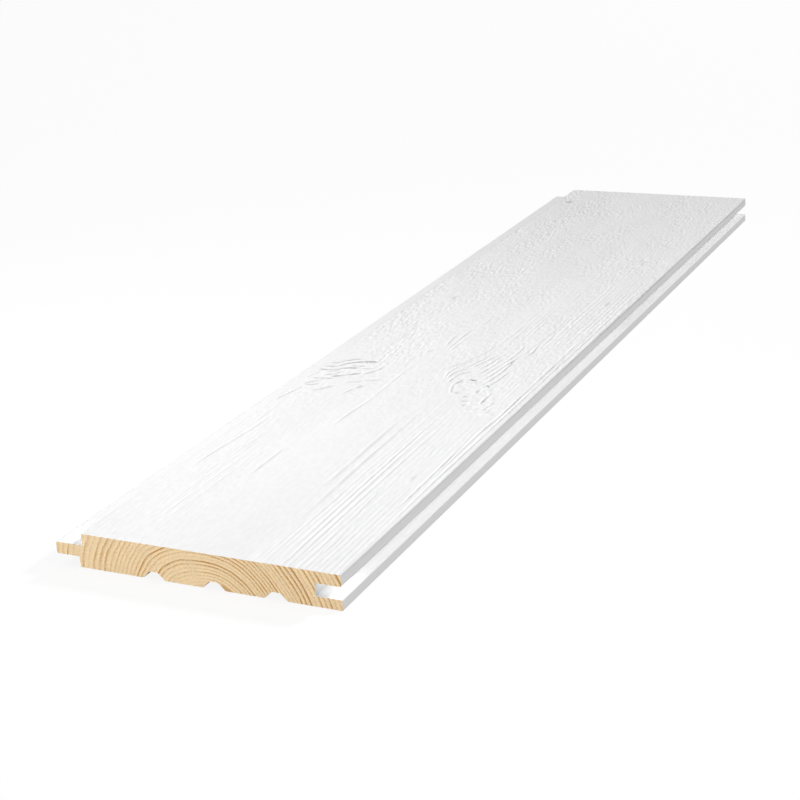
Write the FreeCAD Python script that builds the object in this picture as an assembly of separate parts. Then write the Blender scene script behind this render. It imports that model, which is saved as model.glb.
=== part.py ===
import FreeCAD
import Part
import math
import os

# Tongue and groove cladding board, machined from one plank of pine and lying on its back.
# Millimetres. X runs across the board from the tongue (-X) to the groove (+X), Y runs along
# its length and Z points up, out of the finished face. The origin is the middle of the
# board's footprint, at the height of its back.

# Overall sizes
LENGTH = 525.0
THICKNESS = 14.0
COVER_WIDTH = 110.0  # from one board's back shoulder to the next, once they are pushed together

# The joint between neighbouring boards
FACE_LIP = 4.8  # wood between the finished face and the groove
GROOVE_WIDTH = 5.1
TONGUE_LENGTH = 10.0  # beyond the back shoulder, which meets the neighbour's back lip
TONGUE_SIDE_PLAY = 0.2  # clearance above and below the tongue in the groove
TONGUE_END_PLAY = 0.4  # clearance between the tongue's tip and the groove's floor
SHADOW_GAP = 2.0  # the face stops short of the back shoulder and leaves this open joint

# Relief channels along the back, which keep the board from cupping
CHANNEL_COUNT = 3
CHANNEL_PITCH = 25.5
CHANNEL_DEPTH = 2.9
CHANNEL_FLOOR_WIDTH = 3.6
CHANNEL_FLANK_ANGLE = 45.0  # degrees from the back
CHANNEL_CORNER_RADIUS = 2.0
CHANNEL_MIDDLE_FROM_EDGE = 52.0  # middle of the row, from the groove-side edge

# Rounding of the outer corners
ARRIS_RADIUS = 0.4
TONGUE_TIP_RADIUS = 0.6

# Places across the board
overall_width = COVER_WIDTH + TONGUE_LENGTH
groove_edge_x = overall_width / 2
tongue_tip_x = -overall_width / 2
back_shoulder_x = tongue_tip_x + TONGUE_LENGTH
face_shoulder_x = back_shoulder_x + SHADOW_GAP
groove_floor_x = groove_edge_x - (TONGUE_LENGTH + TONGUE_END_PLAY)

# Heights above the back
groove_top_z = THICKNESS - FACE_LIP
groove_bottom_z = groove_top_z - GROOVE_WIDTH
tongue_top_z = groove_top_z - TONGUE_SIDE_PLAY
tongue_bottom_z = groove_bottom_z + TONGUE_SIDE_PLAY

SHARP = 0.0


def channel_corners(middle_x):
    """The four corners of one relief channel, from the tongue side to the groove side."""
    half_floor = CHANNEL_FLOOR_WIDTH / 2
    half_mouth = half_floor + CHANNEL_DEPTH / math.tan(math.radians(CHANNEL_FLANK_ANGLE))
    return [
        (middle_x - half_mouth, 0.0, SHARP),
        (middle_x - half_floor, CHANNEL_DEPTH, CHANNEL_CORNER_RADIUS),
        (middle_x + half_floor, CHANNEL_DEPTH, CHANNEL_CORNER_RADIUS),
        (middle_x + half_mouth, 0.0, SHARP),
    ]


def section_corners():
    """The board's section as (x, z, rounding) corners, counter-clockwise from the back shoulder."""
    corners = [(back_shoulder_x, 0.0, ARRIS_RADIUS)]
    row_middle_x = groove_edge_x - CHANNEL_MIDDLE_FROM_EDGE
    for number in range(CHANNEL_COUNT):
        steps_from_middle = number - (CHANNEL_COUNT - 1) / 2
        corners += channel_corners(row_middle_x + steps_from_middle * CHANNEL_PITCH)
    corners += [
        (groove_edge_x, 0.0, ARRIS_RADIUS),
        (groove_edge_x, groove_bottom_z, ARRIS_RADIUS),
        (groove_floor_x, groove_bottom_z, SHARP),
        (groove_floor_x, groove_top_z, SHARP),
        (groove_edge_x, groove_top_z, ARRIS_RADIUS),
        (groove_edge_x, THICKNESS, ARRIS_RADIUS),
        (face_shoulder_x, THICKNESS, ARRIS_RADIUS),
        (face_shoulder_x, tongue_top_z, SHARP),
        (tongue_tip_x, tongue_top_z, TONGUE_TIP_RADIUS),
        (tongue_tip_x, tongue_bottom_z, TONGUE_TIP_RADIUS),
        (back_shoulder_x, tongue_bottom_z, SHARP),
    ]
    return corners


def rounded_corner(before, corner, after, radius):
    """Start, middle and end points of the arc that rounds a corner, on its two edges.

    The arc takes at most half of the shorter edge, so that a wide rounding still fits.
    """
    to_before = before - corner
    to_after = after - corner
    half_angle = to_before.getAngle(to_after) / 2
    tangent_length = radius / math.tan(half_angle)
    tangent_length = min(tangent_length, to_before.Length / 2, to_after.Length / 2)
    to_before.normalize()
    to_after.normalize()
    inwards = to_before + to_after
    inwards.normalize()
    centre_distance = tangent_length / math.cos(half_angle)
    fitted_radius = tangent_length * math.tan(half_angle)
    start = corner + to_before * tangent_length
    middle = corner + inwards * (centre_distance - fitted_radius)
    end = corner + to_after * tangent_length
    return start, middle, end


def section_wire(y):
    """The closed outline of the section in the plane at y, of straight runs and arcs."""
    corners = section_corners()
    points = [FreeCAD.Vector(x, y, z) for x, z, _ in corners]
    turns = []
    for index, (_, _, radius) in enumerate(corners):
        point = points[index]
        if radius == SHARP:
            turns.append((point, None, point))
        else:
            following = points[(index + 1) % len(points)]
            turns.append(rounded_corner(points[index - 1], point, following, radius))
    edges = []
    for index, (start, middle, end) in enumerate(turns):
        if middle is not None:
            edges.append(Part.Arc(start, middle, end).toShape())
        next_start = turns[(index + 1) % len(turns)][0]
        if end.distanceToPoint(next_start) > Part.Precision.confusion():
            edges.append(Part.LineSegment(end, next_start).toShape())
    return Part.Wire(edges)


def board():
    """The section drawn at one sawn end and carried to the other."""
    section = Part.Face(section_wire(-LENGTH / 2))
    return section.extrude(FreeCAD.Vector(0, LENGTH, 0))


os.makedirs("parts", exist_ok=True)
solid = board()
solid.exportStep("parts/board.step")
box = solid.BoundBox
print("board", solid.ShapeType, "valid", solid.isValid(), "volume", round(solid.Volume), "mm3")
print("size", round(box.XLength, 2), round(box.YLength, 2), round(box.ZLength, 2), "mm")
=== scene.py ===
# %% [markdown]
# A tongue and groove board: one plank of pine, machined along its whole length and painted white.
# It lies on its back with the finished face up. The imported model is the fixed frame: it gives the
# board's box and its body, and the painted board made here has to stay inside that box.

# %% Load the frame
import math

import bpy
import numpy as np
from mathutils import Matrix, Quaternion, Vector


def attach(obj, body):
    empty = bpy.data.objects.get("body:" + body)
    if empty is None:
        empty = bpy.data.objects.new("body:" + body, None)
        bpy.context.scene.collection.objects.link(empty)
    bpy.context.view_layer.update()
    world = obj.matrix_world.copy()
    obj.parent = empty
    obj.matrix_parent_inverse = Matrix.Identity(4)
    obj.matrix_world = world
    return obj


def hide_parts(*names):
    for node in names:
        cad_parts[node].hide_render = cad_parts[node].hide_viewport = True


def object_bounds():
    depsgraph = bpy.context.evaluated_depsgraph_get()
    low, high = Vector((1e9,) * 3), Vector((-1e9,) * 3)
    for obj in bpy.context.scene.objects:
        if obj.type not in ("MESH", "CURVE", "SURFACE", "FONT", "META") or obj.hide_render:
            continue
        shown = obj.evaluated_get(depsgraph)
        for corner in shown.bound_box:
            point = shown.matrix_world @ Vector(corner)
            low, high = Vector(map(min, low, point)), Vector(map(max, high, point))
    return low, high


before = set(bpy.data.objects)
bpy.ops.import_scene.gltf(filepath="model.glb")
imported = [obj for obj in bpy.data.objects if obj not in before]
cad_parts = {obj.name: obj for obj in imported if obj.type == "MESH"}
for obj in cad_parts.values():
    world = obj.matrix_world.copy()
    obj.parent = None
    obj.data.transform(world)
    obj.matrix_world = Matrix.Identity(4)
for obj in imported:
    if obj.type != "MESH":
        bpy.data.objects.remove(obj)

cad_low, cad_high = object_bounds()
print("CAD box in metres:", tuple(cad_low), tuple(cad_high))

# %% [markdown]
# The camera comes first, because every finish is judged through it. The board was photographed
# from its groove side, a little above it, with a long lens and a slight roll. A camera could be
# aimed with a constraint, but a place and three angles say the same thing with nothing left live.

# %% Camera
MM = 0.001
CAMERA_PLACE = Vector((323.8, -728.6, 276.7)) * MM
VIEW_AZIMUTH = math.radians(26.896)  # turned from straight along the board towards its tongue
VIEW_ELEVATION = math.radians(20.543)
VIEW_ROLL = math.radians(-3.859)
LENS = 78.04  # millimetres
SENSOR_WIDTH = 36.0


def photo_camera():
    """A camera at the place and angles above, rolled about its own line of sight."""
    data = bpy.data.cameras.new("photo_camera")
    data.lens = LENS
    data.sensor_width = SENSOR_WIDTH
    camera = bpy.data.objects.new("photo_camera", data)
    bpy.context.scene.collection.objects.link(camera)
    level = math.cos(VIEW_ELEVATION)
    sight = Vector((
        -math.sin(VIEW_AZIMUTH) * level,
        math.cos(VIEW_AZIMUTH) * level,
        -math.sin(VIEW_ELEVATION),
    ))
    roll = Quaternion((0, 0, 1), VIEW_ROLL)
    camera.location = CAMERA_PLACE
    camera.rotation_euler = (sight.to_track_quat("-Z", "Y") @ roll).to_euler()
    return camera


bpy.context.scene.camera = photo_camera()
bpy.context.scene.view_settings.view_transform = "Standard"
print("camera at", tuple(CAMERA_PLACE), "lens", LENS)

# %% [markdown]
# The board's shape is one section carried along a straight path. The section is drawn as corners
# with a rounding each, in millimetres: the tongue on the left, three relief channels in the back,
# the groove on the right and the finished face on top. Sweeping a curve would also give this
# solid, but a grid of points worked out here lets the face carry the relief of the wood.

# %% Corners of the section
face_z = cad_high.z / MM
tongue_tip = cad_low.x / MM
groove_edge = cad_high.x / MM
near_end = cad_low.y / MM
far_end = cad_high.y / MM
length = far_end - near_end

BACK_SHOULDER = tongue_tip + 10.0
FACE_SHOULDER = BACK_SHOULDER + 2.0  # the face stops short and leaves a shadow joint
GROOVE_FLOOR = groove_edge - 10.4
GROOVE_HEIGHTS = (4.1, 9.2)
TONGUE_HEIGHTS = (4.3, 9.0)
CHANNEL_MIDDLES = tuple(groove_edge - 52.0 + step * 25.5 for step in (-1, 0, 1))
CHANNEL_DEPTH = 2.9
CHANNEL_FLOOR = 3.6  # width of a channel's flat bottom before its corners are rounded
CHANNEL_ROUND = 2.0
ARRIS = 0.4
TIP_ROUND = 0.6
SHARP = 0.0


def back_corners():
    """Corners of the back from the tongue side to the groove side, with 45 degree channel flanks."""
    half_floor = CHANNEL_FLOOR / 2
    half_mouth = half_floor + CHANNEL_DEPTH
    corners = [(BACK_SHOULDER, 0.0, ARRIS)]
    for middle in CHANNEL_MIDDLES:
        corners += [
            (middle - half_mouth, 0.0, SHARP),
            (middle - half_floor, CHANNEL_DEPTH, CHANNEL_ROUND),
            (middle + half_floor, CHANNEL_DEPTH, CHANNEL_ROUND),
            (middle + half_mouth, 0.0, SHARP),
        ]
    return corners + [(groove_edge, 0.0, ARRIS)]


def groove_corners():
    """Corners of the groove side, from the back lip up to the face."""
    bottom, top = GROOVE_HEIGHTS
    return [
        (groove_edge, bottom, ARRIS),
        (GROOVE_FLOOR, bottom, SHARP),
        (GROOVE_FLOOR, top, SHARP),
        (groove_edge, top, ARRIS),
        (groove_edge, face_z, ARRIS),
    ]


def tongue_corners():
    """Corners of the tongue side, from the face down to the back shoulder."""
    bottom, top = TONGUE_HEIGHTS
    return [
        (FACE_SHOULDER, face_z, ARRIS),
        (FACE_SHOULDER, top, SHARP),
        (tongue_tip, top, TIP_ROUND),
        (tongue_tip, bottom, TIP_ROUND),
        (BACK_SHOULDER, bottom, SHARP),
    ]


section = back_corners() + groove_corners() + tongue_corners()
print("section corners:", len(section))

# %% [markdown]
# The corners become a closed outline. A rounded corner is an arc that touches both of its edges,
# and it takes at most half of the shorter one. Beside each arc one more point holds the edge, so
# that smooth shading turns on the arc alone and the flat parts stay flat. The face is cut into
# many short steps, finest where the grain is fine, because it has to follow the relief.

# %% Outline of the section
ARC_STEPS = 3
HOLD = 0.25  # from the end of an arc to its holding point
FACE_START = 1.0  # the steps across the face begin this far from the groove edge
FACE_STEPS = (  # where each region ends, from the tongue-side edge, and the step length in it
    (60.0, 0.38),  # the brushed groove side with the spike knot
    (50.0, 0.80),
    (39.0, 0.50),  # fine lines in the middle
    (31.0, 0.80),
    (0.9, 0.43),  # the tongue side with the oval knot
)


def face_steps():
    """Places across the face from the groove side to the tongue side, evenly spaced by region."""
    regions = []
    start = groove_edge - FACE_START
    for end, step in FACE_STEPS:
        regions.append(np.arange(start, FACE_SHOULDER + end, -step))
        start = FACE_SHOULDER + end
    return np.concatenate(regions)


def turn(before, corner, after, radius):
    """Points that take an outline round one corner: the corner itself, or an arc.

    The arc's centre lies on the corner's bisector, one radius from both edges, and its points
    are evenly spaced in angle between the two places where it touches them. A holding point
    lies on each edge just beyond the arc.
    """
    corner = np.array(corner)
    if radius == SHARP:
        return corner[None, :]
    back, on = np.array(before) - corner, np.array(after) - corner
    back_length, on_length = np.hypot(*back), np.hypot(*on)
    back, on = back / back_length, on / on_length
    half = math.acos(float(np.clip(back @ on, -1, 1))) / 2
    reach = min(radius / math.tan(half), back_length / 2, on_length / 2)
    radius = reach * math.tan(half)
    middle = (back + on) / np.hypot(*(back + on))
    centre = corner + middle * reach / math.cos(half)
    start = corner + back * reach - centre
    sweep = math.pi - 2 * half
    side = np.sign(back[1] * on[0] - back[0] * on[1])
    angles = np.linspace(0, sweep, ARC_STEPS + 1) * side
    cos, sin = np.cos(angles), np.sin(angles)
    arc = centre + np.stack([cos * start[0] - sin * start[1], sin * start[0] + cos * start[1]], 1)
    return np.concatenate([[corner + back * (reach + HOLD)], arc, [corner + on * (reach + HOLD)]])


def section_outline():
    """The outline as points (x, z), and which of them are sharp corners."""
    places = [corner[:2] for corner in section]
    face_start = len(back_corners()) + len(groove_corners()) - 1
    points, sharp = [], []
    for index, (x, z, radius) in enumerate(section):
        following = places[(index + 1) % len(places)]
        bend = turn(places[index - 1], (x, z), following, radius)
        points.append(bend)
        sharp.append(np.full(len(bend), radius == SHARP))
        if index == face_start:
            across = face_steps()
            points.append(np.stack([across, np.full_like(across, face_z)], 1))
            sharp.append(np.zeros(len(across), bool))
    return np.concatenate(points), np.concatenate(sharp)


outline, sharp_corner = section_outline()
print("outline points:", len(outline), "sharp:", int(sharp_corner.sum()))

# %% [markdown]
# Growth rings are what the eye reads as wood. The plank was sawn just above the heart of the tree,
# so on the sawn end the rings are arches round a point below the back, and on the face each ring
# comes out as a line along the board. One set of numbers describes them: how far a point is from
# the heart, how wide the years are there, and how dark the late wood of each year is. Both the
# relief of the face and the colour of the bare wood read it, so a line on the face comes out
# beside its own ring on the end.

# %% Growth rings
HEART_X = FACE_SHOULDER + 54.3
HEART_Z = -12.1
HEART_LEAN = -0.06  # for each millimetre up, the middle of the arches moves aside by this much
TONGUE_SIDE_SHRINK = 0.86  # rings are wider towards the tongue
TONGUE_SIDE_EASE = 0.147  # and stand more upright there
EASE_REACH = 60.0  # the ease grows from the heart to the value above, which it has this far aside
EASE_LIMIT = 1.2  # and goes on growing up to this many times that value
TAPER = 0.012  # the trunk narrows towards the far end
FIRST_YEAR = 17.7  # distance of the first counted ring from the heart
YOUNG_YEAR_WIDTH = 1.4  # the tree grew slowly at first
YOUNG_REACH = 38.0
OLD_YEAR_WIDTH = 1.9
PLAIN_YEARS = (0.42, 0.68)  # darkness of an ordinary year's late wood, tongue side and groove side
# Distance from the heart and darkness of the years that stand out, on each side of it
TONGUE_SIDE_YEARS = (
    (22.8, 0.8), (28.5, 1.0), (35.4, 0.8), (41.4, 1.2), (46.8, 0.6), (54.2, 1.5), (56.4, 0.9),
    (58.4, 0.9),
)
GROOVE_SIDE_YEARS = (
    (23.0, 1.2), (28.5, 0.9), (32.7, 1.0), (36.9, 0.35), (42.2, 1.2), (44.1, 1.3), (47.0, 0.25),
    (49.8, 1.5), (51.7, 1.4), (59.3, 1.7),
)


def heart_distance(x, y, z):
    """Distance from the heart in the section, eased on the tongue side, plus the trunk's taper."""
    rise = z - HEART_Z
    aside = x - HEART_X - HEART_LEAN * rise
    ease = 1 - TONGUE_SIDE_EASE * np.clip(-aside / EASE_REACH, 0, EASE_LIMIT)
    aside = np.where(aside < 0, aside * TONGUE_SIDE_SHRINK, aside)
    return np.hypot(aside, rise * ease) + TAPER * (y - near_end)


def year_count(distance):
    """Years at that distance: narrow years up to the young reach, and wider ones beyond it."""
    young = (np.minimum(distance, YOUNG_REACH) - FIRST_YEAR) / YOUNG_YEAR_WIDTH
    return young + np.maximum(distance - YOUNG_REACH, 0) / OLD_YEAR_WIDTH


years_to_edge = year_count(groove_edge - HEART_X)
print("years between the first ring and the groove edge:", round(float(years_to_edge)))

# %% [markdown]
# Wood is never quite regular, so most shapes below are shaken a little. A ready noise texture
# could do it inside a material, but the mesh needs the same kind of unevenness as plain numbers.
# It comes in layers of four numbers: an amount, a step along the board, a step across it, and a
# seed, so that every run gives the same board.

# %% Unevenness
def drift(along, across, along_step, across_step, seed):
    """Smooth random values from -1 to 1: a seeded grid of random numbers with the two steps
    given, read between its points with a smooth ease."""
    u, v = along / along_step, across / across_step
    low_u, low_v = np.floor(u), np.floor(v)
    ease_u, ease_v = u - low_u, v - low_v
    ease_u = ease_u * ease_u * (3 - 2 * ease_u)
    ease_v = ease_v * ease_v * (3 - 2 * ease_v)
    i = (low_u - low_u.min()).astype(int)
    j = (low_v - low_v.min()).astype(int)
    grid = np.random.default_rng(seed).uniform(-1, 1, (i.max() + 2, j.max() + 2))
    first = grid[i, j] * (1 - ease_u) + grid[i + 1, j] * ease_u
    second = grid[i, j + 1] * (1 - ease_u) + grid[i + 1, j + 1] * ease_u
    return first * (1 - ease_v) + second * ease_v


def shaken(along, across, *layers):
    """The sum of layers of drift, each given as its amount, its two steps and its seed."""
    return sum(amount * drift(along, across, *how) for amount, *how in layers)


def fade(value, start, full):
    """0 before start, 1 after full, with an ease between; start may be the larger one."""
    part = np.clip((value - start) / (full - start), 0, 1)
    return part * part * (3 - 2 * part)


print("a fade from 10 to 20, read at 12:", round(float(fade(12.0, 10.0, 20.0)), 3))

# %% [markdown]
# The path of the section is the board's length. Its stations are close together where the two
# large knots sit, because their ridges run across the board. They are a little wider apart past
# the spike-shaped knot, where its lines run out, and at a few small marks on the far half.
# Elsewhere the grain runs straight on, and a few stations are enough. The outline and the
# stations together make the grid on which the relief of the face is worked out.

# %% Stations and grid
LAST_SPACE = 3.0  # at least this much between the last two stations
STATION_RUNS = (  # start and end, from the near end, and the spacing between them
    (0.0, 150.0, 4.0),
    (150.0, 176.0, 0.55),  # the spike-shaped knot
    (176.0, 206.0, 0.36),  # both knots
    (206.0, 238.0, 1.0),  # the lines past the spike's tip
    (238.0, 286.0, 2.5),  # where these lines run out
    (286.0, length - LAST_SPACE, 5.5),
    (297.0, 313.0, 1.5),  # small marks
    (377.0, 391.0, 1.5),
    (486.0, 504.0, 1.5),
)
station = [np.arange(*run) for run in STATION_RUNS] + [[length]]
station = near_end + np.unique(np.concatenate(station))
outline_x, outline_z = outline[:, 0], outline[:, 1]
grid_x = np.repeat(outline_x[:, None], len(station), 1)
grid_y = np.repeat(station[None, :], len(outline), 0)
grid_z = np.repeat(outline_z[:, None], len(station), 1)
on_face = np.clip((grid_z - (face_z - ARRIS)) / ARRIS, 0, 1) ** 2  # fades out over the rounded edges
grid_along, grid_across = grid_y - near_end, grid_x - FACE_SHOULDER
print("stations:", len(station), "grid points:", grid_x.size)

# %% [markdown]
# The finished face is brushed before it is painted: the soft early wood is worn away, and where a
# year ends a fine furrow stays beside the hard late wood. The relief is a height over the face in
# millimetres, a function of two coordinates: along, from the near end, and across, from the
# tongue-side edge.

# %% Relief of the brushed grain
FURROW_DEPTH = 0.11
FURROW_WIDTH = 0.45
FURROW_WANDER = ((0.35, 70.0, 22.0, 11), (0.15, 16.0, 5.0, 12))
FURROW_PATCHES = (0.75, 42.0, 5.0, 13)
PATCH_MEAN = 0.55  # share of the depth round which the patches swing
FIBRES = (0.024, 26.0, 0.9, 14)
BRUSHED_GROOVE_SIDE = (62.0, 75.0)  # across: where the deeply brushed part begins and is full
BRUSHED_TONGUE_SIDE = (38.0, 29.0)
TONGUE_SIDE_SHARE = 0.35  # of the depth on the groove side
FAR_PART = (270.0, 420.0)  # along: where the furrows begin to be shallower, and fully are
FAR_LOSS = 0.6
PAST_SPIKE_START = (190.0, 240.0)  # along: past the spike they are deeper for a stretch
PAST_SPIKE_END = (350.0, 290.0)
PAST_SPIKE_GAIN = 0.5


def grain_furrows(along, across):
    """Furrows where the years end on the face: bell curves at every year's distance, which drift
    slowly along the board and are broken into patches. They are deepest on the groove side, with
    a loss on the far part and a gain past the spike. Fine fibres are added everywhere."""
    x = across + FACE_SHOULDER
    distance = heart_distance(x, along + near_end, face_z) + shaken(along, across, *FURROW_WANDER)
    year = year_count(distance)
    year_width = np.where(distance < YOUNG_REACH, YOUNG_YEAR_WIDTH, OLD_YEAR_WIDTH)
    apart = (year - np.round(year)) * year_width
    groove_side = fade(across, *BRUSHED_GROOVE_SIDE)
    tongue_side = TONGUE_SIDE_SHARE * fade(across, *BRUSHED_TONGUE_SIDE)
    loss = FAR_LOSS * fade(along, *FAR_PART)
    gain = PAST_SPIKE_GAIN * fade(along, *PAST_SPIKE_START) * fade(along, *PAST_SPIKE_END)
    patches = np.clip(PATCH_MEAN + shaken(along, across, FURROW_PATCHES), 0, 1)
    depth = FURROW_DEPTH * (groove_side + tongue_side) * (1 - loss + gain) * patches
    return shaken(along, across, FIBRES) - depth * np.exp(-((apart / FURROW_WIDTH) ** 2))


FLAT = 0.99  # on_face is above this on the flat of the face


def span(values):
    """The lowest and the highest value on the flat of the face, to be printed."""
    flat = values[on_face > FLAT]
    return round(float(flat.min()), 3), round(float(flat.max()), 3)


grain = grain_furrows(grid_along, grid_across)
print("brushed grain in mm:", span(grain))

# %% [markdown]
# Two branches come out of the face side by side. The left one was cut nearly square, so the wood
# wraps it in tilted ovals. The right one was cut lengthwise: a slanting spike, and past its tip
# the grain runs off towards the far end in nested arches. Such lines follow no simple rule, so
# each is drawn as a stroke through a few places, as a carver would mark it.

# %% Strokes of the two knots
# Each stroke: depth, width, then places as (along, across)
OVAL_KNOT_STROKES = (
    (1.00, 0.60, (202.6, 28.0), (201.4, 22.5), (200.0, 16.6), (196.4, 10.6), (191.0, 6.4), (189.6, -2.0)),
    (1.00, 0.52, (203.5, 15.0), (202.2, 11.9), (199.2, 8.0), (196.9, 6.2), (195.2, 4.0), (194.6, 0.5)),
    (1.00, 0.62, (192.2, 19.0), (191.2, 15.0), (189.4, 11.3), (187.5, 9.7), (185.2, 7.9), (181.2, 5.4)),
    (0.70, 0.50, (188.0, 9.0), (186.2, 6.6), (185.8, 4.0), (186.0, 0.0)),
    (1.05, 0.66, (186.0, 23.5), (183.8, 19.8), (180.9, 15.4), (179.4, 12.9), (177.6, 9.5)),
    (0.85, 0.52, (185.4, 12.6), (183.4, 11.3), (181.2, 9.7), (179.7, 7.9), (178.6, 5.8)),
    (0.85, 0.62, (196.5, 28.3), (193.5, 27.9), (190.6, 27.2), (188.1, 26.0), (185.6, 24.4), (182.6, 22.8)),
    (0.28, 1.10, (181.0, 36.0), (178.6, 31.5), (176.2, 27.8), (173.6, 23.4), (171.0, 19.0)),
    (0.30, 0.45, (193.4, 26.0), (192.4, 23.6), (191.4, 20.6), (190.9, 18.5)),
    (0.35, 0.45, (195.2, 22.0), (194.5, 18.5), (194.0, 15.4), (193.0, 12.0)),
    (0.55, 0.50, (169.0, 10.5), (167.2, 8.5), (165.7, 5.8), (164.6, 3.5)),
    (0.65, 0.55, (173.0, 9.5), (171.2, 7.2), (169.6, 5.2), (167.0, 3.4), (164.8, 2.4)),
    (0.50, 0.55, (176.6, 14.0), (175.6, 10.4), (175.0, 7.2), (174.4, 4.2), (173.8, 2.0)),
    (0.55, 0.60, (169.0, 19.2), (166.9, 17.2), (164.4, 15.1), (161.9, 13.2), (159.1, 11.0), (156.5, 9.0)),
    (0.60, 0.55, (172.6, 32.2), (170.6, 30.4), (168.4, 28.8), (166.4, 27.6), (163.1, 26.9), (157.5, 25.6)),
    (0.40, 0.50, (183.0, 3.0), (180.0, 1.9), (176.3, 0.8), (173.0, 0.3)),
    (0.45, 0.50, (166.0, 5.0), (161.6, 3.8), (157.5, 2.9), (153.0, 2.0), (148.0, 1.3), (143.5, 0.8)),
)
SPIKE_KNOT_STROKES = (
    (0.70, 0.60, (191.5, 72.5), (191.0, 75.0), (191.5, 77.0)),
    (0.65, 0.50, (205.0, 68.5), (202.5, 65.5), (197.0, 63.0), (190.0, 62.5)),
    (0.65, 0.50, (202.5, 71.5), (199.5, 68.8), (196.0, 66.4), (191.5, 65.4), (187.0, 65.5), (182.0, 65.4)),
    (0.30, 0.60, (171.5, 74.5), (174.7, 71.8), (180.0, 69.8), (184.5, 68.9), (188.0, 70.0), (193.0, 73.0)),
    (0.62, 0.50, (184.0, 79.2), (187.2, 81.2), (191.5, 82.2), (199.5, 83.0), (209.5, 83.4), (223.0, 83.0)),
    (0.65, 0.52, (178.5, 82.5), (183.0, 83.0), (189.0, 85.0), (198.0, 86.0), (208.0, 86.5)),
    (0.30, 0.45, (181.6, 83.4), (183.0, 85.2), (185.4, 84.9), (186.6, 83.2), (185.0, 81.9), (182.0, 82.3)),
    (0.72, 0.48, (190.5, 76.6), (193.5, 78.6), (198.1, 80.1), (206.0, 81.0), (218.0, 82.4), (232.0, 84.5)),
    (0.55, 0.45, (196.5, 76.0), (205.0, 78.0), (216.0, 79.5), (230.0, 82.0)),
    (0.55, 0.45, (197.5, 74.0), (206.0, 75.5), (222.0, 77.5)),
    (0.55, 0.45, (203.5, 71.5), (210.0, 73.0), (226.0, 75.5)),
    (0.55, 0.45, (205.0, 67.5), (213.0, 70.0), (224.0, 73.0)),
    (0.60, 0.45, (202.0, 64.0), (213.0, 67.5), (225.5, 69.5)),
    (0.50, 0.45, (188.5, 62.0), (196.0, 60.5), (203.0, 61.0), (210.0, 62.5), (218.0, 66.0)),
    (0.46, 0.45, (201.0, 56.5), (207.0, 59.8), (213.0, 62.0), (222.0, 64.4)),
    (0.34, 0.45, (214.0, 62.6), (221.0, 64.6), (229.0, 66.0), (240.0, 66.8)),
    (0.60, 0.55, (170.0, 78.5), (172.0, 81.0)),
    (0.55, 0.55, (165.0, 80.0), (166.5, 84.0)),
    (0.60, 0.62, (161.0, 88.2), (165.6, 89.5), (170.5, 89.4), (179.0, 89.2)),
    (0.50, 0.50, (155.5, 92.2), (159.5, 93.4), (164.0, 94.3), (169.5, 94.2)),
    (0.40, 0.50, (154.0, 95.2), (157.0, 96.0), (161.5, 96.6)),
    (0.50, 0.45, (223.0, 85.0), (230.0, 86.5), (237.0, 88.0)),
    (0.40, 0.45, (242.0, 87.5), (250.0, 88.0), (256.5, 88.0)),
    (0.34, 0.45, (222.0, 84.6), (236.0, 84.2), (248.0, 84.6), (264.0, 85.2)),
    (0.34, 0.45, (228.0, 87.6), (236.0, 86.6), (244.0, 86.2), (252.0, 86.4)),
    (0.26, 0.45, (250.0, 86.1), (262.0, 85.8), (274.0, 85.3), (286.0, 84.9)),
    (0.32, 0.45, (212.0, 79.5), (222.0, 80.3), (231.0, 80.6), (243.0, 80.4)),
    (0.30, 0.50, (230.0, 68.8), (244.0, 68.3), (258.0, 68.7), (272.0, 69.2)),
    (0.25, 0.50, (238.0, 71.8), (252.0, 71.4), (270.0, 71.6)),
    (0.36, 0.45, (221.0, 49.8), (229.0, 48.9), (238.0, 49.0), (251.0, 49.6)),
    (0.38, 0.45, (224.0, 46.8), (232.0, 46.9), (243.0, 46.5), (259.0, 46.9)),
    (0.30, 0.45, (230.0, 44.6), (238.0, 43.2), (248.0, 43.0)),
    (0.24, 0.45, (261.0, 48.3), (268.0, 48.9), (277.0, 48.5)),
)
print("strokes of the oval:", len(OVAL_KNOT_STROKES), "of the spike:", len(SPIKE_KNOT_STROKES))

# %% [markdown]
# Every stroke is the same furrow with raised lips, carried along its own path. A thin piece could
# be swept along each path and cut out of the board, but then the mesh would be full of seams. So
# each point of the grid is measured from the paths near it, and sinks by the furrow's depth there.

# %% Carving a stroke
LIP_SHARE = 0.45  # height of the lips beside a furrow, as a share of its depth
LIP_WIDTH = 2.0  # of the swelling that makes the lips, in widths of the furrow
STROKE_REACH = 4.0  # widths of the furrow, beyond which nothing of it is left
STROKE_ENDS = 0.3  # share of the path over which a stroke fades in, and out again
STROKE_BREAKS = ((0.35, 4.0, 4.0, 61), (0.35, 13.0, 2.0, 62))
STROKE_MEAN = 0.85  # share of the depth round which the breaks swing
PATH_POINTS = 2  # for each millimetre


def smooth_path(places):
    """A path through the places, about two points for each millimetre: each piece between two
    places is a cubic whose slope at a place is that of the line between its neighbours."""
    places = np.array(places)
    padded = np.concatenate([2 * places[:1] - places[1:2], places, 2 * places[-1:] - places[-2:-1]])
    pieces = []
    for before, start, stop, after in zip(padded, padded[1:], padded[2:], padded[3:]):
        part = np.linspace(0, 1, 2 + int(PATH_POINTS * np.hypot(*(stop - start))))[:-1, None]
        leave, arrive = (stop - before) / 2, (after - start) / 2
        square, cube = part ** 2, part ** 3
        pieces.append(
            (2 * cube - 3 * square + 1) * start
            + (cube - 2 * square + part) * leave
            + (3 * square - 2 * cube) * stop
            + (cube - square) * arrive
        )
    return np.concatenate(pieces + [places[-1:]])


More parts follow.
